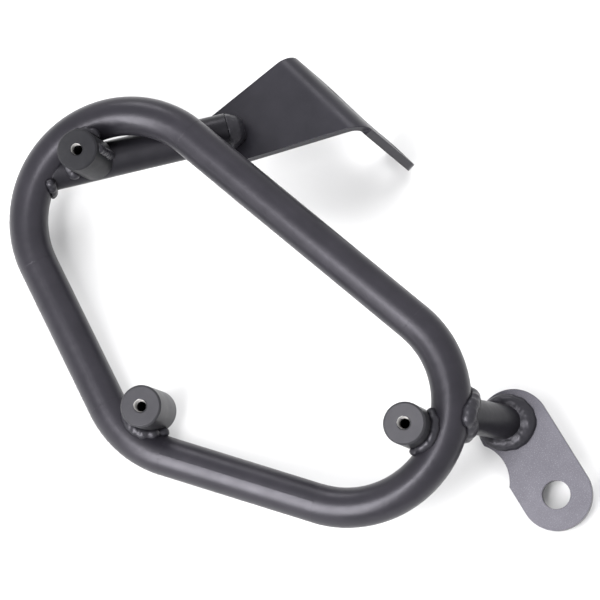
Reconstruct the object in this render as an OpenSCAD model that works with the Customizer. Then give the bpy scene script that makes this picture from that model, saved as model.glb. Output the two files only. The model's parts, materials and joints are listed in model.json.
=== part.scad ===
// Side carrier for hard luggage on a motorbike: a closed loop of bent tube with three threaded
// bosses, a folded bracket on a tube arm at one end, and a bolted tab on a stub at the other.
// The loop stands upright in an XZ plane, +Z up, with the bosses on its outboard side at -Y.
// The origin is the centre of the tab's bolt hole, on the tab's outboard face.

/* [Loop] */
// Outside diameter of the loop tube
tube_d = 18; // [16:0.5:21]
// Wall thickness of all tubes
tube_wall = 2; // [1.2:0.1:3]
// Width of the loop over the outside of its tube
loop_w = 248; // [225:1:300]
// Height of the loop over the outside of its tube
loop_h = 139.5; // [130:0.5:165]
// Centreline radius of the three bends
bend_r = 46.5; // [40:0.5:52]

/* [Bosses] */
// Outside diameter of the threaded bosses
boss_d = 19; // [16:0.5:22]
// Distance of the boss faces from the middle plane of the loop
boss_face = 22.5; // [14:0.5:35]
// Distance that the bosses reach behind the middle plane of the loop
boss_tail = 2.5; // [0:0.5:5]
// Distance of the end bosses' axes inside the centreline of the bends
boss_inset = 14.5; // [13:0.5:16.5]
// Distance of the lower boss's axis above the centreline of the lower bend
low_boss_inset = 15.9; // [13:0.1:17]
// Angle of the end bosses' axes above the centres of the end bends
boss_angle = 19; // [5:1:35]
// Sideways place of the lower boss from the middle of the loop
low_boss_shift = 0.8; // [-3:0.1:3]
// Diameter of the tapped hole
tap_d = 5; // [4:0.1:7]
// Depth of the tapped hole
tap_depth = 16; // [12:0.5:20]
// Chamfer on the rim of the boss face
boss_chamfer = 0.8; // [0.2:0.1:1.5]
// Width of the countersink at the mouth of the tapped hole
tap_chamfer = 0.7; // [0.2:0.1:1.5]

/* [Stub and tab] */
// Outside diameter of the stub tube
stub_d = 16; // [12:0.5:17]
// Angle of the stub's root on the loop's end bend
stub_angle = 34; // [25:1:45]
// Distance of the tab's outboard face behind the middle plane of the loop
tab_back = 45; // [38:1:60]
// Place of the tab's upper round end, sideways from the loop's outer end
tab_out = -0.6; // [-5.5:0.1:6.5]
// Place of the tab's upper round end, above the middle of the loop's top tube
tab_rise = -9; // [-14.5:0.1:-4.5]
// Distance of the stub's end from the middle of that round end, toward the loop
stub_shift = 2.9; // [0:0.1:3.5]
// Distance of the stub's end below the middle of that round end
stub_drop = 1.2; // [0:0.1:2]
// Thickness of the tab
tab_t = 4; // [3:0.5:6]
// Radius of the tab's two round ends
tab_r = 16.3; // [15:0.1:20]
// Distance between the centres of the tab's round ends
tab_len = 37.5; // [34:0.5:60]
// Slope of the tab below the horizontal
tab_slope = 18.5; // [0:0.5:45]
// Diameter of the tab's bolt hole
tab_hole_d = 13; // [8:0.5:14]
// Radius of the round relief in the tab's lower edge
relief_r = 17.6; // [14:0.1:19]
// Place of the relief's centre along the tab from the middle of its upper round end
relief_along = 12.2; // [8:0.1:16]
// Distance of the relief's centre below the tab's middle line
relief_drop = 30; // [28:0.1:36]

/* [Bracket] */
// Thickness of the folded bracket
plate_t = 4; // [3:0.5:5]
// Inner radius of the fold
fold_r = 4; // [2:0.5:6]
// Width of the bracket along its fold
fold_w = 56; // [50:1:80]
// Height of the bracket's face below the top of the fold
face_h = 56; // [54:0.5:70]
// Width of the face at its foot
foot_w = 27.5; // [24:0.5:36]
// Distance of the foot from the flange's straight edge, along the fold
foot_in = 39; // [30:0.5:40]
// Corner radius at the foot
foot_r = 8; // [4:0.5:12]
// Reach of the flange behind the bracket's face
flange_len = 64; // [56:1:90]
// Reach of the flange's wide part
shoulder_len = 34; // [30:1:40]
// Corner radius of the flange's wide part
shoulder_r = 10; // [4:0.5:12]
// Distance that the free edge of the wide part leans in
shoulder_lean = 6; // [0:0.5:10]
// Width of the flange's narrow end
tongue_w = 20; // [18:0.5:24]
// Corner radius of the flange's narrow end
tongue_r = 8; // [3:0.5:8.5]
// Radius in the corner between the wide part and the narrow end
notch_r = 6; // [2:0.5:8]
// Diameter of the two bolt holes in the flange
flange_hole_d = 8.5; // [6:0.5:9]
// Distance of the end hole from the flange's end and from its straight edge
end_hole_in = 10; // [8:0.5:12]
// Distance of the inner hole from the straight edge
inner_hole_in = 38; // [32:0.5:42]
// Distance of the inner hole behind the bracket's face
inner_hole_back = 22; // [18:0.5:25]
// Turn of the bracket about the vertical, away from the loop's plane
bracket_yaw = 15; // [5:1:20]
// Roll of the bracket in the plane of its face
bracket_roll = 4; // [0:0.5:8]
// Place of the fold's right end, sideways from the middle of the loop
bracket_x = -12.1; // [-25:0.1:10]
// Place of the fold's right end behind the middle plane of the loop
bracket_back = 15.4; // [15:0.1:25]
// Place of the fold's right end above the centreline of the top tube
bracket_z = 55; // [48:0.5:65]

/* [Arm] */
// Outside diameter of the arm tube
arm_d = 17; // [15:0.5:18]
// Angle of the arm's root on the loop's end bend
arm_angle = 193.6; // [188:0.1:200]
// Distance of the arm's axis behind the middle plane of the loop at its root
arm_back = 1.5; // [0:0.5:4]
// Place of the arm's end on the bracket, from the flange's straight edge
arm_end_in = 48.5; // [45:0.5:50]
// Place of the arm's end on the bracket, below the top of the fold
arm_end_drop = 46; // [42:0.1:48]
// Distance of the arm's end centre in front of the bracket's face
arm_end_off = 6; // [4:0.5:7]
// Depth of the saddle that seats the left boss on the arm
saddle = 4; // [2:0.5:6]

/* [Welds] */
// Radius of the weld beads
bead_r = 3.2; // [2:0.1:3.5]
// Distance that the beads lie out from the piece they run around
bead_out = 0.8; // [0:0.1:1.5]
// Radius of the heavier beads at the two ends of the stub
stub_bead_r = 3.8; // [3:0.1:4]
// Distance that the stub's beads lie out from its skin
stub_bead_out = 1.4; // [0:0.1:1.5]
// Half the angle that the bead runs around the right boss
boss_weld = 58; // [40:1:70]
// Half the angle that the bead runs around the lower boss
low_weld = 66; // [50:1:72]
// Distance that the lower boss's bead lies out from the boss
low_bead_out = 1.6; // [0.5:0.1:2]
// Pitch of the ripples along a bead
ripple = 3; // [2.8:0.1:4]
// Length of the rounded weld cap that closes the arm's end
cap_len = 8; // [6:0.5:9]
// Distance that the weld cap stands out over the arm's skin
cap_over = 0.5; // [0.3:0.1:1]
// Angle around the arm where the bead between the arm and the loop begins
arm_weld_from = 205; // [200:1:230]
// Angle around the arm where the bead between the arm and the loop ends
arm_weld_to = 308; // [290:1:320]
// Angle around the left boss where its bead begins
left_weld_from = 116; // [100:1:150]
// Angle around the left boss where its bead ends
left_weld_to = 262; // [215:1:270]
// Angle around the left boss of the short bead that runs along its side to the arm
side_weld_angle = 44; // [38:1:50]
// Radius of that short bead
side_weld_r = 2.4; // [2:0.1:3]
// Distance of that bead's front end behind the boss's face
side_weld_from = 6; // [4:0.5:10]
// Distance of that bead's rear end behind the boss's face
side_weld_to = 22; // [18:0.5:23]

/* [Hidden] */
$fa = 4;
$fs = 0.6;
far = 200;
over = 1;
lap = 0.5;
lap_step = 0.05;
up = [0, 0, 1];
tube_r = tube_d / 2;
boss_r = boss_d / 2;
stub_r = stub_d / 2;
arm_r = arm_d / 2;
fold_out = fold_r + plate_t;
// Centres of the bends, in the loop's plane
end_x = loop_w / 2 - tube_r - bend_r;
apex_z = tube_d + bend_r - loop_h;
end_c = [end_x, -bend_r];
apex_c = [0, apex_z];
side_slope = atan2(-bend_r - apex_z, end_x);
side_len = norm(end_c - apex_c);
// Axes of the bosses, in the loop's plane
boss_reach = bend_r - boss_inset;
right_boss = end_c + boss_reach * [cos(boss_angle), sin(boss_angle)];
left_boss = [-right_boss[0], right_boss[1]];
low_boss = [low_boss_shift, apex_z - bend_r + low_boss_inset];
// Stub's axis, from the loop's centreline to the tab's outboard face
stub_root = in_plane(end_c + bend_r * [cos(stub_angle), sin(stub_angle)]);
tab_end = [loop_w / 2 + tab_out, tab_back, tab_rise];
stub_end = tab_end - [stub_shift, 0, stub_drop];
stub_along = unit(stub_end - stub_root);
// Arm's axis, from the loop's back to the bracket's face
left_c = [-end_x, -bend_r];
arm_foot = in_plane(left_c + bend_r * [cos(arm_angle), sin(arm_angle)]);
arm_root = arm_foot + [0, arm_back, 0];
arm_end = on_bracket([-arm_end_in, -arm_end_off, -arm_end_drop]);
arm_along = unit(arm_end - arm_root);
// Depth of the arm's axis behind the left boss
arm_turn = (left_boss[1] - arm_root[2]) / (arm_end[2] - arm_root[2]);
left_tail = arm_root[1] + arm_turn * (arm_end[1] - arm_root[1]) - arm_r + saddle;
// Bolt hole of the tab
hole_c = tab_end + tab_len * [cos(tab_slope), 0, -sin(tab_slope)];

function unit(v) = v / norm(v);
// Point of the loop's plane, moved back by a depth
function in_plane(p, depth = 0) = [p[0], depth, p[1]];
// Point given in the bracket's own directions: along the fold, back from the face, and up
function on_bracket(p) =
  let (c = cos(bracket_roll), s = sin(bracket_roll), a = [c * p[0] + s * p[2], p[1], c * p[2] - s * p[0]],
       t = cos(bracket_yaw), u = sin(bracket_yaw))
  [bracket_x + t * a[0] + u * a[1], bracket_back + t * a[1] - u * a[0], bracket_z + a[2]];
// Point on the skin of a tube, square to its axis
function skin(along, r, a) =
  let (side = unit(cross(up, along)), rise = cross(along, side)) r * (cos(a) * side + sin(a) * rise);
// Part of a vector that is square to a direction
function square_to(v, d) = v - (v * d) * d;

// Moves the finished shape so that the tab's bolt hole lies at the origin
module placed() translate(-hole_c) children();

// Stands a shape drawn flat up in the loop's plane, with its top side outboard
module upright() rotate([90, 0, 0]) children();

module in_bracket()
  translate([bracket_x, bracket_back, bracket_z])
    rotate([0, 0, -bracket_yaw]) rotate([0, bracket_roll, 0]) children();

// Round rod between two points
module rod(p, q, r) {
  v = q - p;
  translate(p)
    rotate([0, acos(v[2] / norm(v)), atan2(v[1], v[0])]) cylinder(h = norm(v), r = r);
}

module bend(centre, from, sweep, r)
  translate(centre) rotate([0, 0, from])
    rotate_extrude(angle = sweep) translate([bend_r, 0]) circle(r);

module low_rod(r = tube_r) upright() bend(apex_c, -90 - side_slope, 2 * side_slope, r);
module right_rod(r = tube_r) upright() bend(end_c, side_slope - 90, 180 - side_slope, r);
module left_rod(r = tube_r) mirror([1, 0, 0]) right_rod(r);

// Solid rod along the loop's centreline; its straights, a hair thinner, lap into the bends
module loop_rod(r) {
  right_rod(r);
  left_rod(r);
  low_rod(r);
  upright() translate([-end_x - lap, 0, 0])
    rotate([0, 90, 0]) cylinder(h = 2 * (end_x + lap), r = r - lap_step);
  for (s = [0, 1]) mirror([s, 0, 0])
    upright() translate(end_c) rotate([0, 0, side_slope]) translate([lap, -bend_r, 0])
      rotate([0, -90, 0]) cylinder(h = side_len + 2 * lap, r = r - lap_step);
}

// Turned boss, standing on its tail, with its tapped hole
module boss(at, tail) upright() translate([at[0], at[1], boss_face])
  difference() {
    rotate_extrude() polygon([
      [0, 0], [boss_r - boss_chamfer, 0], [boss_r, -boss_chamfer],
      [boss_r, -boss_face - tail], [0, -boss_face - tail]]);
    rotate_extrude() polygon([
      [0, over], [tap_d / 2 + tap_chamfer, over], [tap_d / 2 + tap_chamfer, 0],
      [tap_d / 2, -tap_chamfer], [tap_d / 2, -tap_depth], [0, -tap_depth - tap_d / 4]]);
  }

// Ripples of weld, laid as overlapping drops along a path
module bead(path, r = bead_r) for (p = path) translate(p) sphere(r);

function ripple_turn(r) = 360 / round(2 * PI * r / ripple);

// Distance along a direction to the near (-1) or far (1) skin of a tube through a centre
function reach(p, dir, centre, axis, r, side) =
  let (w = square_to(p - centre, axis), d = square_to(dir, axis),
       b = (d * w) / (d * d), c = (w * w - r * r) / (d * d))
  side * sqrt(max(0, b * b - c)) - b;

// Depth of the front of the loop tube, and of the arm, at a point of the loop's plane; past the
// end of the bottom bend the tube runs on straight
function loop_front(p, centre) =
  let (d = p - centre, side = atan2(d[0], -d[1]), turn = centre == apex_c && abs(side) > side_slope,
       far_in = turn ? d * [sign(side) * sin(side_slope), -cos(side_slope)] : norm(d),
       n = bend_r - far_in) -sqrt(max(0, tube_r * tube_r - n * n));
function arm_front(p) = reach(in_plane(p), [0, 1, 0], arm_root, arm_along, arm_r, -1);

// Path around a boss between two angles, on the front of the tubes that it stands on
function boss_seam(at, centre, from, to, arm = false, out = bead_out) =
  [for (a = [from : ripple_turn(boss_r) : to])
    let (p = at + (boss_r + out) * [cos(a), sin(a)], y = loop_front(p, centre))
    in_plane(p, arm ? min(y, arm_front(p)) : y)];

// Path where a side tube meets the loop tube, whose axis runs through centre along axis
function tube_seam(root, along, r, centre, axis, from = 0, to = 359) =
  [for (a = [from : ripple_turn(r) : to])
    let (q = root + skin(along, r, a)) q + along * reach(q, along, centre, axis, tube_r, 1)];

module loop_tube() color("#3a3a3e") placed() difference() {
  loop_rod(tube_r);
  loop_rod(tube_r - tube_wall);
}

module boss_left() color("#55555a") placed() difference() {
  boss(left_boss, left_tail);
  left_rod();
  rod(arm_root, arm_end, arm_r);
}

module boss_right() color("#55555a") placed() difference() {
  boss(right_boss, boss_tail);
  right_rod();
}

module boss_low() color("#55555a") placed() difference() {
  boss(low_boss, boss_tail);
  low_rod();
}

module arm_tube() color("#3a3a3e") placed() difference() {
  rod(arm_root, arm_end, arm_r);
  rod(arm_root - arm_along, arm_end + arm_along, arm_r - tube_wall);
  left_rod();
  behind_bracket();
}

// Everything behind the outboard face of the bracket
module behind_bracket() in_bracket() translate([-far / 2, 0, -far / 2]) cube([far, far, far]);

module stub_tube() color("#3a3a3e") placed() difference() {
  rod(stub_root, stub_end + stub_r * stub_along, stub_r);
  rod(stub_root - stub_along, stub_end + 2 * stub_r * stub_along, stub_r - tube_wall);
  right_rod();
  behind_tab();
}

// Everything behind the outboard face of the tab
module behind_tab() translate([stub_end[0] - far / 2, tab_back, stub_end[2] - far / 2]) cube(far);

module tab() color("#85848a") placed() upright()
  translate([tab_end[0], tab_end[2], -tab_back - tab_t]) rotate([0, 0, -tab_slope])
    linear_extrude(tab_t) difference() {
      union() {
        circle(tab_r);
        translate([tab_len, 0]) circle(tab_r);
        translate([0, -tab_r]) square([tab_len, 2 * tab_r]);
      }
      translate([tab_len, 0]) circle(d = tab_hole_d);
      translate([relief_along, -relief_drop]) circle(relief_r);
    }

// Centre and touching points of the arc that rounds the corner p between a and b
function corner(a, p, b, r) =
  let (u = unit(a - p), v = unit(b - p), half = acos(u * v) / 2)
  [p + unit(u + v) * r / sin(half), p + u * r / tan(half), p + v * r / tan(half)];

// Outline of the bracket's face, from the fold down to its rounded foot
module face_outline() {
  foot = [[-foot_in, -face_h], [-foot_in - foot_w, -face_h]];
  top = [[0, 0], [-fold_w, 0]];
  near = corner(top[0], foot[0], foot[1], foot_r);
  free = corner(foot[0], foot[1], top[1], foot_r);
  polygon([top[0], near[1], near[2], free[1], free[2], top[1]]);
  translate(near[0]) circle(foot_r);
  translate(free[0]) circle(foot_r);
}

// Outline of the flange seen from above: a wide part, and a narrow end along its straight edge
module flange_outline() {
  wide = [[0, fold_out], [-fold_w, fold_out], [shoulder_lean - fold_w, shoulder_len], [0, shoulder_len]];
  wide_c = corner(wide[1], wide[2], wide[3], shoulder_r);
  difference() {
    union() {
      polygon([wide[0], wide[1], wide_c[1], wide_c[2], wide[3]]);
      translate(wide_c[0]) circle(shoulder_r);
      translate([-tongue_w, fold_out]) square([tongue_w, flange_len - tongue_r - fold_out]);
      translate([tongue_r - tongue_w, flange_len - 2 * tongue_r])
        square([tongue_w - 2 * tongue_r, 2 * tongue_r]);
      for (x = [-tongue_r, tongue_r - tongue_w])
        translate([x, flange_len - tongue_r]) circle(tongue_r);
      translate([-tongue_w - notch_r, shoulder_len]) difference() {
        square(notch_r);
        translate([0, notch_r]) circle(notch_r);
      }
    }
    translate([-end_hole_in, flange_len - end_hole_in]) circle(d = flange_hole_d);
    translate([-inner_hole_in, inner_hole_back]) circle(d = flange_hole_d);
  }
}

// Section of the folded sheet: face, bend and flange
module fold_section() {
  translate([0, -face_h]) square([plate_t, face_h - fold_out]);
  translate([fold_out, -plate_t]) square([flange_len - fold_out, plate_t]);
  intersection() {
    translate([0, -fold_out]) square(fold_out);
    translate([fold_out, -fold_out]) difference() {
      circle(fold_out);
      circle(fold_r);
    }
  }
}

module bracket() color("#414146") placed() in_bracket() intersection() {
  translate([-fold_w - foot_w, 0, 0]) rotate([90, 0, 90])
    linear_extrude(fold_w + foot_w) fold_section();
  union() {
    translate([0, fold_out, 0]) rotate([90, 0, 0]) linear_extrude(fold_out) face_outline();
    translate([0, 0, -plate_t]) linear_extrude(plate_t) flange_outline();
  }
}

// Bead along a path around a boss, cut back to the boss and to the bend that it stands on
module boss_bead(at, path) difference() {
  bead(path);
  children();
  upright() translate([at[0], at[1], -far / 2]) cylinder(h = far, r = boss_r);
}

module weld_boss_left() color("#333337") placed()
  boss_bead(left_boss, boss_seam(left_boss, left_c, left_weld_from, left_weld_to, true)) {
    left_rod();
    rod(arm_root, arm_end, arm_r);
  }

module weld_boss_right() color("#333337") placed()
  boss_bead(right_boss, boss_seam(right_boss, end_c, boss_angle - boss_weld, boss_angle + boss_weld))
    right_rod();

module weld_boss_low() color("#333337") placed()
  boss_bead(low_boss, boss_seam(low_boss, apex_c, -90 - low_weld, low_weld - 90, false, low_bead_out))
    loop_rod(tube_r);

module weld_arm_loop() color("#333337") placed() difference() {
  bead(tube_seam(arm_root, arm_along, arm_r + bead_out, arm_foot,
    [-sin(arm_angle), 0, cos(arm_angle)], arm_weld_from, arm_weld_to));
  left_rod();
  rod(arm_root - arm_along * arm_r, arm_end, arm_r);
}

module weld_arm_boss() color("#333337") placed() difference() {
  bead([for (d = [side_weld_from : ripple : side_weld_to])
    in_plane(left_boss + (boss_r + bead_out) * [cos(side_weld_angle), sin(side_weld_angle)],
      d - boss_face)], side_weld_r);
  upright() translate([left_boss[0], left_boss[1], -far / 2]) cylinder(h = far, r = boss_r);
  rod(arm_root, arm_end, arm_r);
}

module weld_arm_bracket() color("#333337") placed() difference() {
  translate(arm_end) rotate([0, acos(arm_along[2]), atan2(arm_along[1], arm_along[0])])
    rotate_extrude() polygon([[0, 0], [arm_r + cap_over, 0], [arm_r, cap_len / 4],
      [arm_r - cap_len / 4, 3 * cap_len / 4], [arm_r / 2, cap_len], [0, cap_len]]);
  behind_bracket();
}

module weld_stub_loop() color("#333337") placed() difference() {
  bead(tube_seam(stub_root, stub_along, stub_r + stub_bead_out, stub_root,
    [-sin(stub_angle), 0, cos(stub_angle)]), stub_bead_r);
  right_rod();
  rod(stub_root - stub_along * tube_r, stub_end, stub_r);
}

module weld_stub_tab() color("#333337") placed() difference() {
  bead([for (a = [0 : ripple_turn(stub_r) : 359])
    let (q = stub_end + skin(stub_along, stub_r + stub_bead_out, a))
    q + stub_along * (tab_back - q[1]) / stub_along[1]], stub_bead_r);
  rod(stub_root, stub_end + stub_r * stub_along, stub_r);
  behind_tab();
}

loop_tube();
boss_left();
boss_right();
boss_low();
arm_tube();
bracket();
stub_tube();
tab();
weld_boss_left();
weld_boss_right();
weld_boss_low();
weld_arm_loop();
weld_arm_boss();
weld_arm_bracket();
weld_stub_loop();
weld_stub_tab();
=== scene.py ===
"""Looks of the pannier frame: satin black powder coat over welded steel, on a pale floor."""
import json
import math

import bmesh
import bpy
from mathutils import Matrix, Vector, noise as field


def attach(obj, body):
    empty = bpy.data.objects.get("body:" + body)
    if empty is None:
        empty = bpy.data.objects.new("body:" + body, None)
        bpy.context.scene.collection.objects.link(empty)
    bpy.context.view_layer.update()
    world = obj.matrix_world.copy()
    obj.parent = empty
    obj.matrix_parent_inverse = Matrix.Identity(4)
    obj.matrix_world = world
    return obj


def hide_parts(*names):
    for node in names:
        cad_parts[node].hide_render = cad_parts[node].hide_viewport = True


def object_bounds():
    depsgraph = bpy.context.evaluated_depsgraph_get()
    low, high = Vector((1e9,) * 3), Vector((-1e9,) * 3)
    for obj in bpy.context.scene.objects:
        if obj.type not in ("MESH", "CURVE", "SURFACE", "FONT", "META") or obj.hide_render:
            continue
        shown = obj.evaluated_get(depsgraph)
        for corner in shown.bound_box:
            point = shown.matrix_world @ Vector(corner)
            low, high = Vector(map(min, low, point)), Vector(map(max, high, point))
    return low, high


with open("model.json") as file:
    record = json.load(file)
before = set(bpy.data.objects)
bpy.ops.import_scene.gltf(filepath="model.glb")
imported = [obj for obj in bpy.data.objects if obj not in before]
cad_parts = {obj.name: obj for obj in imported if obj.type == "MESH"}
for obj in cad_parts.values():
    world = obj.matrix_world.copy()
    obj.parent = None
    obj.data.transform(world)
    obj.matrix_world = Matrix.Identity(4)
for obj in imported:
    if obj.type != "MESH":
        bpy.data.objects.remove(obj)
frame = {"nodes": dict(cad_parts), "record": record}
cad_box = [list(c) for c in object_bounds()]
scene = bpy.context.scene
nodes = frame["nodes"]
mounts = {m["name"]: m for m in frame["record"]["mounts"]}
centre = (Vector(cad_box[0]) + Vector(cad_box[1])) / 2
MM = 0.001
WHITE = (1, 1, 1, 1)
STEEL = (0.42, 0.41, 0.40)

# Camera of the photograph: its place, its right and forward directions, and its lens, with the
# focal length and the picture's side in pixels, and the sensor's side in millimetres
CAM_AT = Vector((0.22456, -1.34061, 0.06231))
CAM_RIGHT = Vector((0.74043, 0.23933, 0.62808)).normalized()
CAM_AHEAD = Vector((-0.26909, 0.96185, -0.04929))
CAM_AHEAD = (CAM_AHEAD - CAM_AHEAD.dot(CAM_RIGHT) * CAM_RIGHT).normalized()
CAM_UP = CAM_RIGHT.cross(CAM_AHEAD)
FOCAL_PX, PICTURE_PX, SENSOR = 3002.04, 600.0, 36.0

# The floor that the frame lies on: a point of it, its outward direction, half its side in metres,
# its colour, and the strength that it glows with where it is seen
FLOOR_AT = Vector((-0.00027, 0.00916, -0.00375))
FLOOR_UP = Vector((0.0271, -0.9249, 0.3793)).normalized()
FLOOR_HALF = 3.0
FLOOR_TONE = (0.68, 0.68, 0.685, 1.0)
FLOOR_GLOW = 0.02

# Strength of the surroundings, as light and as seen
WORLD_LIGHT, WORLD_SEEN = 0.60, 1.0

# Lamps: place from the object's middle in the camera's right, up and forward directions, width and
# height, all in metres, then watts, and turn about the beam in degrees
LAMPS = {
    "key_left": ((-0.80, -0.36, -1.03), (0.22, 0.85), 17.0, 18.0),
    "key_near": ((-0.37, -0.27, -1.03), (0.20, 1.0), 13.5, 4.0),
    "key_low": ((-1.25, -1.05, -0.95), (0.5, 0.5), 9.0, 0.0),
    "rim": ((-0.30, 1.25, -0.28), (0.4, 0.4), 3.2, 0.0),
    "top": ((0.05, 1.20, -0.75), (1.4, 0.9), 20.0, 0.0),
}

# Noises of the powder coat, in waves per metre: its mottle, its sheen, and its orange peel
MOTTLE, SHEEN, PEEL = 55.0, 150.0, 330.0
COAT_IOR = 1.4
COAT_TINT = (0.94, 0.91, 1.0, 1.0)

# Bare steel at a thread's mouth, in millimetres: how far its ring lies off the hole's middle, which
# spreads more steel to one side as a painted glint, how ragged its edge is, and the depths between
# which painted shade darkens the steel
BARE_OFF_TO_GLINT, BARE_RAGGED = 0.45, 0.5
PAINTED_SHADE_FROM, PAINTED_SHADE_TO = -0.6, 3.2

# Faces of the bosses: how far bare steel reaches past the hole in millimetres, and the coat's
# shine; the left boss's smaller steel ring and weaker shine are painted shade, which keeps its face
# darker than the others
SHADED_BOSS_FACES = {"boss_left": (0.05, 0.06)}
PLAIN_FACE = (0.35, 0.42)

# Ridge of an M6 thread, in millimetres: pitch, height, where it starts behind the mouth, half its
# width at root and crest, and how far its root is sunk in the wall
THREAD_PITCH, THREAD_HIGH, THREAD_START = 1.0, 0.36, 0.55
ROOT_HALF, CREST_HALF, ROOT_SUNK = 0.46, 0.08, 0.02
THREAD_TURNS, TURN_STEPS = 13, 40

# How far each bead is run smooth, swollen, roughened and moved, in passes and millimetres; where a
# ring is filled; and the plane, by a point and a direction, that a ring is ground off at
BEADS = {
    "weld_stub_loop": dict(passes=60, swell=0.45, lump=0.25,
                           cut=((-54.4, -45.0, -1.28), (0.829, 0.0, 0.559))),
    "weld_stub_tab": dict(passes=24, swell=0.15, lump=0.30, filled=True),
    "weld_arm_bracket": dict(passes=24, swell=-0.10, lump=0.30, move=(0.25, 0.05, -0.35)),
    "weld_arm_loop": dict(passes=24, swell=-0.45, lump=0.45),
    "weld_arm_boss": dict(passes=10, swell=0.15, lump=0.40, move=(-1.4, 0.0, -0.9)),
}
BOSS_BEAD = dict(passes=44, swell=0.50, lump=0.34)

# Voxel of the remeshed beads in millimetres, and their lumps per metre, coarse and times finer
BEAD_VOXEL, BEAD_LUMPS, LUMPS_FINER = 0.45, 260.0, 2.3

# Sockets of a node that mixes two colours
MIX_FACTOR, MIX_A, MIX_B, MIX_RESULT = 0, 6, 7, 2


def link(name, data):
    obj = bpy.data.objects.new(name, data)
    scene.collection.objects.link(obj)
    return obj


def camera():
    cam = bpy.data.cameras.new("camera")
    cam.sensor_width = SENSOR
    cam.lens = FOCAL_PX / PICTURE_PX * SENSOR
    cam.clip_start, cam.clip_end = 0.05, 20.0
    obj = link("camera", cam)
    turn = Matrix((CAM_RIGHT, CAM_UP, -CAM_AHEAD)).transposed().to_4x4()
    obj.matrix_world = Matrix.Translation(CAM_AT) @ turn
    scene.camera = obj


def area(name, place, size, watts, turn):
    """Flat lamp that shines on the object's middle."""
    lamp = bpy.data.lights.new(name, "AREA")
    lamp.shape = "RECTANGLE"
    lamp.size, lamp.size_y = size
    lamp.energy = watts
    obj = link(name, lamp)
    right, up, forward = place
    at = centre + right * CAM_RIGHT + up * CAM_UP + forward * CAM_AHEAD
    ahead = (centre - at).normalized()
    side = ahead.cross(CAM_UP).normalized()
    top = side.cross(ahead)
    spin = Matrix.Rotation(math.radians(turn), 3, ahead)
    side, top = spin @ side, spin @ top
    obj.matrix_world = Matrix.Translation(at) @ Matrix((side, top, -ahead)).transposed().to_4x4()
    return obj


class Graph:
    """A tree of shader nodes, made and wired in short lines."""

    def __init__(self, tree):
        self.tree = tree

    def add(self, kind, **values):
        node = self.tree.nodes.new(kind)
        for key, value in values.items():
            if key in node.inputs:
                node.inputs[key].default_value = value
            else:
                setattr(node, key, value)
        return node

    def wire(self, a, out, b, into):
        self.tree.links.new(a.outputs[out], b.inputs[into])

    def reckon(self, operation, a, out, value):
        """A socket and a number, put through the given math operation."""
        node = self.add("ShaderNodeMath", operation=operation)
        self.wire(a, out, node, 0)
        node.inputs[1].default_value = value
        return node

    def mix_colours(self, a, b, blend="MIX"):
        node = self.add("ShaderNodeMix", data_type="RGBA", blend_type=blend)
        self.wire(a, "Color", node, MIX_A)
        self.wire(b, "Color", node, MIX_B)
        return node

    def seen(self):
        """1 for rays from the camera, from a mirror or through glass."""
        path = self.add("ShaderNodeLightPath")
        one = self.add("ShaderNodeMath", operation="MAXIMUM")
        two = self.add("ShaderNodeMath", operation="MAXIMUM")
        self.wire(path, "Is Camera Ray", one, 0)
        self.wire(path, "Is Glossy Ray", one, 1)
        self.wire(one, "Value", two, 0)
        self.wire(path, "Is Transmission Ray", two, 1)
        return two


class Skin(Graph):
    """The nodes of a new material, with its shader and its output."""

    def __init__(self, name):
        self.mat = bpy.data.materials.new(name)
        self.mat.use_nodes = True
        super().__init__(self.mat.node_tree)
        self.shader = self.tree.nodes["Principled BSDF"]
        self.out = self.tree.nodes["Material Output"]


def noise(t, where, scale, detail=3.0, rough=0.5):
    n = t.add("ShaderNodeTexNoise", Scale=scale, Detail=detail, Roughness=rough)
    t.wire(where, "Object", n, "Vector")
    return n


def ramp(t, source, out, stops):
    r = t.add("ShaderNodeValToRGB")
    band = r.color_ramp
    while len(band.elements) < len(stops):
        band.elements.new(0.5)
    for e, (at, value) in zip(band.elements, stops):
        e.position = at
        value = (value,) * 3 if isinstance(value, float) else value
        e.color = (*value, 1.0)
    t.wire(source, out, r, "Fac")
    return r


def coat(name, low, high, rough, peel_depth=0.05, grain_depth=0.012, grain=1400.0, round_r=0.4,
         speck=0.0, shine=0.5):
    """Powder coat: a mottled dark colour under a skin of soft orange peel and fine grain."""
    t = Skin(name)
    where = t.add("ShaderNodeTexCoord")
    blotch = noise(t, where, MOTTLE, 5.0, 0.65)
    tone = ramp(t, blotch, "Fac", [(0.32, low), (0.68, high)])
    if speck:
        dots = noise(t, where, grain * 1.3, 1.0, 0.4)
        lit = ramp(t, dots, "Fac", [(0.55, 0.0), (0.75, 1.0)])
        mix = t.mix_colours(tone, lit, "ADD")
        mix.inputs[MIX_FACTOR].default_value = speck
        t.wire(mix, MIX_RESULT, t.shader, "Base Color")
    else:
        t.wire(tone, "Color", t.shader, "Base Color")
    sheen = noise(t, where, SHEEN, 4.0, 0.6)
    gloss = ramp(t, sheen, "Fac", [(0.3, rough[0]), (0.7, rough[1])])
    t.wire(gloss, "Color", t.shader, "Roughness")
    soft = t.add("ShaderNodeBevel", samples=6, Radius=round_r * MM)
    waves = noise(t, where, PEEL, 1.5)
    fine = noise(t, where, grain, 2.0)
    peel_bump = t.add("ShaderNodeBump", Strength=1.0, Distance=peel_depth * MM)
    t.wire(waves, "Fac", peel_bump, "Height")
    t.wire(soft, "Normal", peel_bump, "Normal")
    bump = t.add("ShaderNodeBump", Strength=1.0, Distance=grain_depth * MM)
    t.wire(fine, "Fac", bump, "Height")
    t.wire(peel_bump, "Normal", bump, "Normal")
    t.wire(bump, "Normal", t.shader, "Normal")
    t.shader.inputs["IOR"].default_value = COAT_IOR
    t.shader.inputs["Specular Tint"].default_value = COAT_TINT
    t.shader.inputs["Specular IOR Level"].default_value = shine
    t.bump, t.where, t.tone = bump, where, tone
    return t


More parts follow.
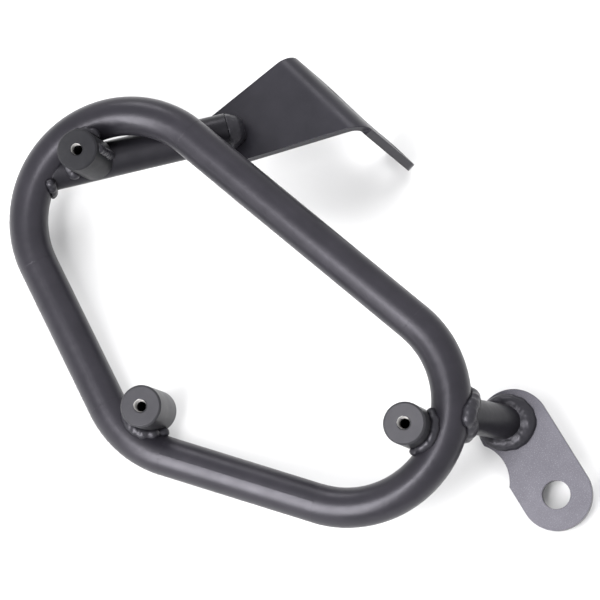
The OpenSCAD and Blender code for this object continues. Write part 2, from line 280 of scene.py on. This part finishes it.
def from_mouth(t, where, at):
    """Place measured from the mouth of a tapped hole, whole and split in three."""
    move = t.add("ShaderNodeMapping", vector_type="POINT", Location=(-at.x, -at.y, -at.z))
    t.wire(where, "Object", move, "Vector")
    split = t.add("ShaderNodeSeparateXYZ")
    t.wire(move, "Vector", split, "Vector")
    return move, split


def steel_with_painted_shade(t, split):
    """Colour of a tapped hole: bare steel at its mouth, turned black farther in by painted shade.
    """
    depth = t.add("ShaderNodeMapRange")
    depth.inputs["From Min"].default_value = PAINTED_SHADE_FROM * MM
    depth.inputs["From Max"].default_value = PAINTED_SHADE_TO * MM
    t.wire(split, "Y", depth, "Value")
    stops = [(0.0, STEEL), (0.25, STEEL), (0.60, 0.03), (1.0, 0.004)]
    return ramp(t, depth, "Result", stops)


def turned(name, at, bare_r, shine):
    """Coat over a turned end face: fine rings round the boss, and bare steel at the thread, spread
    farther to one side as a painted glint and darkened inward by painted shade.
    """
    t = coat(name, (0.016, 0.016, 0.018), (0.024, 0.024, 0.026), (0.34, 0.42), 0.02, 0.010,
             shine=shine)
    move, split = from_mouth(t, t.where, at)
    rings = t.add("ShaderNodeTexWave", wave_type="RINGS", rings_direction="Y", wave_profile="SAW",
                  Scale=360.0, Distortion=1.5, Detail=2.0)
    t.wire(move, "Vector", rings, "Vector")
    cut = t.add("ShaderNodeBump", Strength=0.7, Distance=0.02 * MM)
    t.wire(rings, "Fac", cut, "Height")
    t.wire(t.bump, "Normal", cut, "Normal")
    t.wire(cut, "Normal", t.shader, "Normal")
    # The bare ring's middle is moved to one side, so that more steel shows there as a painted glint
    flat = t.add("ShaderNodeCombineXYZ")
    t.wire(t.reckon("ADD", split, "X", BARE_OFF_TO_GLINT * MM), "Value", flat, "X")
    t.wire(split, "Z", flat, "Z")
    far = t.add("ShaderNodeVectorMath", operation="LENGTH")
    t.wire(flat, "Vector", far, 0)
    ragged = noise(t, t.where, 900.0, 2.0)
    reach = t.reckon("MULTIPLY_ADD", ragged, "Fac", BARE_RAGGED * MM)
    t.wire(far, "Value", reach, 2)
    edge = t.reckon("LESS_THAN", reach, "Value", bare_r + BARE_RAGGED / 2 * MM)
    shade = t.mix_colours(t.tone, steel_with_painted_shade(t, split))
    t.wire(edge, "Value", shade, MIX_FACTOR)
    t.wire(shade, MIX_RESULT, t.shader, "Base Color")
    t.wire(edge, "Value", t.shader, "Metallic")
    return t.mat


def bare_steel():
    """Steel of the thread ridges, darkened by painted shade with the depth behind the bosses'
    faces.
    """
    t = Skin("bare_steel")
    where = t.add("ShaderNodeTexCoord")
    split = from_mouth(t, where, Vector(mounts["thread_left"]["pos_m"]))[1]
    t.wire(steel_with_painted_shade(t, split), "Color", t.shader, "Base Color")
    t.shader.inputs["Metallic"].default_value = 1.0
    rough = ramp(t, noise(t, where, 1200.0), "Fac", [(0.3, 0.22), (0.7, 0.40)])
    t.wire(rough, "Color", t.shader, "Roughness")
    return t.mat


def dress(node, mat):
    obj = nodes[node]
    obj.data.materials.clear()
    obj.data.materials.append(mat)


def thread(name, mount, mat):
    """Helical ridge of a screw thread on the wall of a tapped hole."""
    at, r = Vector(mount["pos_m"]), mount["dims"]["r_mm"] * MM
    axis = Vector(mount["axis"]).normalized()
    side = axis.orthogonal().normalized()
    rise = axis.cross(side)
    mesh = bpy.data.meshes.new(name)
    bm = bmesh.new()
    rows, last = [], TURN_STEPS * THREAD_TURNS
    for k in range(last + 1):
        a = 2 * math.pi * k / TURN_STEPS
        back = (THREAD_START + THREAD_PITCH * k / TURN_STEPS) * MM
        fade = min(1.0, k / TURN_STEPS, (last - k) / TURN_STEPS)
        out = math.cos(a) * side + math.sin(a) * rise
        root, crest = r + ROOT_SUNK * MM, r - THREAD_HIGH * fade * MM
        section = (root, -ROOT_HALF), (crest, -CREST_HALF), (crest, CREST_HALF), (root, ROOT_HALF)
        rows.append([bm.verts.new(at + out * rr - axis * (back + dz * MM)) for rr, dz in section])
    for a, b in zip(rows, rows[1:]):
        for i in range(4):
            j = (i + 1) % 4
            bm.faces.new((a[i], b[i], b[j], a[j]))
    bm.faces.new(rows[0])
    bm.faces.new(list(reversed(rows[-1])))
    bmesh.ops.recalc_face_normals(bm, faces=bm.faces)
    bm.to_mesh(mesh)
    bm.free()
    obj = link(name, mesh)
    mesh.materials.append(mat)
    for p in mesh.polygons:
        p.use_smooth = True
    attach(obj, "root")


def run_full(bm):
    """Runs the groove between a ring of weld and its tube full."""
    hull = bmesh.ops.convex_hull(bm, input=bm.verts)
    skin = {f for f in hull["geom"] if isinstance(f, bmesh.types.BMFace)}
    bmesh.ops.delete(bm, geom=[f for f in bm.faces if f not in skin], context="FACES")


def grind_off(bm, point, ahead):
    """Grinds off a ring's far end, which would run past the tube into its neighbour."""
    every = bm.verts[:] + bm.edges[:] + bm.faces[:]
    bmesh.ops.bisect_plane(bm, geom=every, plane_co=Vector(point) * MM, plane_no=Vector(ahead),
                           clear_inner=True)
    bmesh.ops.holes_fill(bm, edges=[e for e in bm.edges if e.is_boundary])


def weld(node, mat, passes, swell, lump, filled=False, move=(0.0, 0.0, 0.0), cut=None):
    """Bead remeshed from its CAD node, run together and roughened as a coated weld is."""
    src = nodes[node]
    obj = link("bead_" + node.replace("weld_", ""), src.data.copy())
    obj.matrix_world = src.matrix_world.copy()
    if filled or cut:
        bm = bmesh.new()
        bm.from_mesh(obj.data)
        if filled:
            run_full(bm)
        if cut:
            grind_off(bm, *cut)
        bm.to_mesh(obj.data)
        bm.free()
    obj.data.materials.clear()
    remesh = obj.modifiers.new("remesh", "REMESH")
    remesh.mode = "VOXEL"
    remesh.voxel_size = BEAD_VOXEL * MM
    smooth = obj.modifiers.new("smooth", "SMOOTH")
    smooth.factor, smooth.iterations = 0.5, passes
    deps = bpy.context.evaluated_depsgraph_get()
    mesh = bpy.data.meshes.new_from_object(obj.evaluated_get(deps))
    obj.modifiers.clear()
    obj.data = mesh
    mesh.update()
    normals = [v.normal.copy() for v in mesh.vertices]
    for v, n in zip(mesh.vertices, normals):
        coarse = v.co * BEAD_LUMPS
        a = field.noise(coarse) + 0.5 * field.noise(coarse * LUMPS_FINER)
        v.co += n * ((swell + lump * a) * MM) + Vector(move) * MM
    mesh.materials.clear()
    mesh.materials.append(mat)
    for p in mesh.polygons:
        p.use_smooth = True
    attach(obj, "root")
    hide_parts(node)


def lay_floor():
    """Pale floor, white to the camera, seen from its upper side only."""
    mesh = bpy.data.meshes.new("floor")
    side = FLOOR_UP.orthogonal().normalized()
    across = FLOOR_UP.cross(side)
    corners = [FLOOR_AT + FLOOR_HALF * (a * side + b * across)
               for a, b in ((-1, -1), (1, -1), (1, 1), (-1, 1))]
    mesh.from_pydata(corners, [], [(0, 1, 2, 3)])
    floor = link("floor", mesh)
    mesh.update()
    if mesh.polygons[0].normal.dot(FLOOR_UP) < 0:
        mesh.flip_normals()
    t = Skin("floor")
    t.shader.inputs["Base Color"].default_value = FLOOR_TONE
    t.shader.inputs["Roughness"].default_value = 0.9
    t.shader.inputs["Specular IOR Level"].default_value = 0.1
    glow = t.add("ShaderNodeEmission", Color=WHITE, Strength=FLOOR_GLOW)
    lit = t.add("ShaderNodeAddShader")
    t.wire(t.shader, "BSDF", lit, 0)
    t.wire(glow, "Emission", lit, 1)
    upper = t.add("ShaderNodeMixShader")
    t.wire(t.seen(), "Value", upper, "Fac")
    t.wire(t.shader, "BSDF", upper, 1)
    t.wire(lit, "Shader", upper, 2)
    both = t.add("ShaderNodeMixShader")
    t.wire(t.add("ShaderNodeNewGeometry"), "Backfacing", both, "Fac")
    t.wire(upper, "Shader", both, 1)
    t.wire(t.add("ShaderNodeBsdfTransparent"), "BSDF", both, 2)
    t.wire(both, "Shader", t.out, "Surface")
    mesh.materials.append(t.mat)


def light_world():
    """Soft white surroundings, which the camera, mirrors and glass show as plain white."""
    world = bpy.data.worlds.new("world")
    scene.world = world
    world.use_nodes = True
    t = Graph(world.node_tree)
    back = t.tree.nodes["Background"]
    back.inputs["Color"].default_value = WHITE
    back.inputs["Strength"].default_value = WORLD_LIGHT
    bright = t.add("ShaderNodeBackground", Color=WHITE, Strength=WORLD_SEEN)
    both = t.add("ShaderNodeMixShader")
    t.wire(t.seen(), "Value", both, "Fac")
    t.wire(back, "Background", both, 1)
    t.wire(bright, "Background", both, 2)
    t.wire(both, "Shader", t.tree.nodes["World Output"], "Surface")


camera()

# Coats: the two tones of the mottle, and the range of the roughness
tube_mat = coat("tube_coat", (0.009, 0.0085, 0.0112), (0.014, 0.013, 0.0168), (0.30, 0.38)).mat
plate_mat = coat("plate_coat", (0.008, 0.0078, 0.0103), (0.013, 0.0125, 0.016), (0.36, 0.44),
                 0.03, 0.014, round_r=0.6).mat
# The tab's coat has a base several times lighter than the tubes': painted light, which brightens
# its flat face
tab_lit_mat = coat("tab_coat", (0.050, 0.048, 0.059), (0.068, 0.066, 0.079), (0.34, 0.42),
               0.03, 0.020, grain=1700.0, round_r=0.5, speck=0.06).mat
weld_mat = coat("weld_coat", (0.009, 0.009, 0.011), (0.015, 0.0145, 0.018), (0.30, 0.42),
                0.06, 0.02).mat
# A darker, duller copy of the tube coat: painted shade on the arm and the stub
shaded_tube_mat = coat("under_coat", (0.006, 0.006, 0.0075), (0.011, 0.0105, 0.013), (0.30, 0.38),
                 shine=0.30).mat
steel_mat = bare_steel()
coats = {"tab": tab_lit_mat, "bracket": plate_mat, "arm_tube": shaded_tube_mat, "stub_tube": shaded_tube_mat}

for name in nodes:
    if name.startswith("weld"):
        dress(name, weld_mat)
        weld(name, weld_mat, **BEADS.get(name, BOSS_BEAD))
    elif name.startswith("boss"):
        hole = mounts["thread_" + name.replace("boss_", "")]
        past, shine = SHADED_BOSS_FACES.get(name, PLAIN_FACE)
        bare_r = hole["dims"]["r_mm"] * MM + past * MM
        dress(name, turned(name + "_coat", Vector(hole["pos_m"]), bare_r, shine))
        thread("thread_" + name.replace("boss_", ""), hole, steel_mat)
    else:
        dress(name, coats.get(name, tube_mat))

lay_floor()
light_world()
for name, row in LAMPS.items():
    lamp = area(name, *row)
    # The wide top lamp lights the floor and the coat, but shows in no highlight
    lamp.visible_glossy = name != "top"

scene.view_settings.view_transform = "Standard"
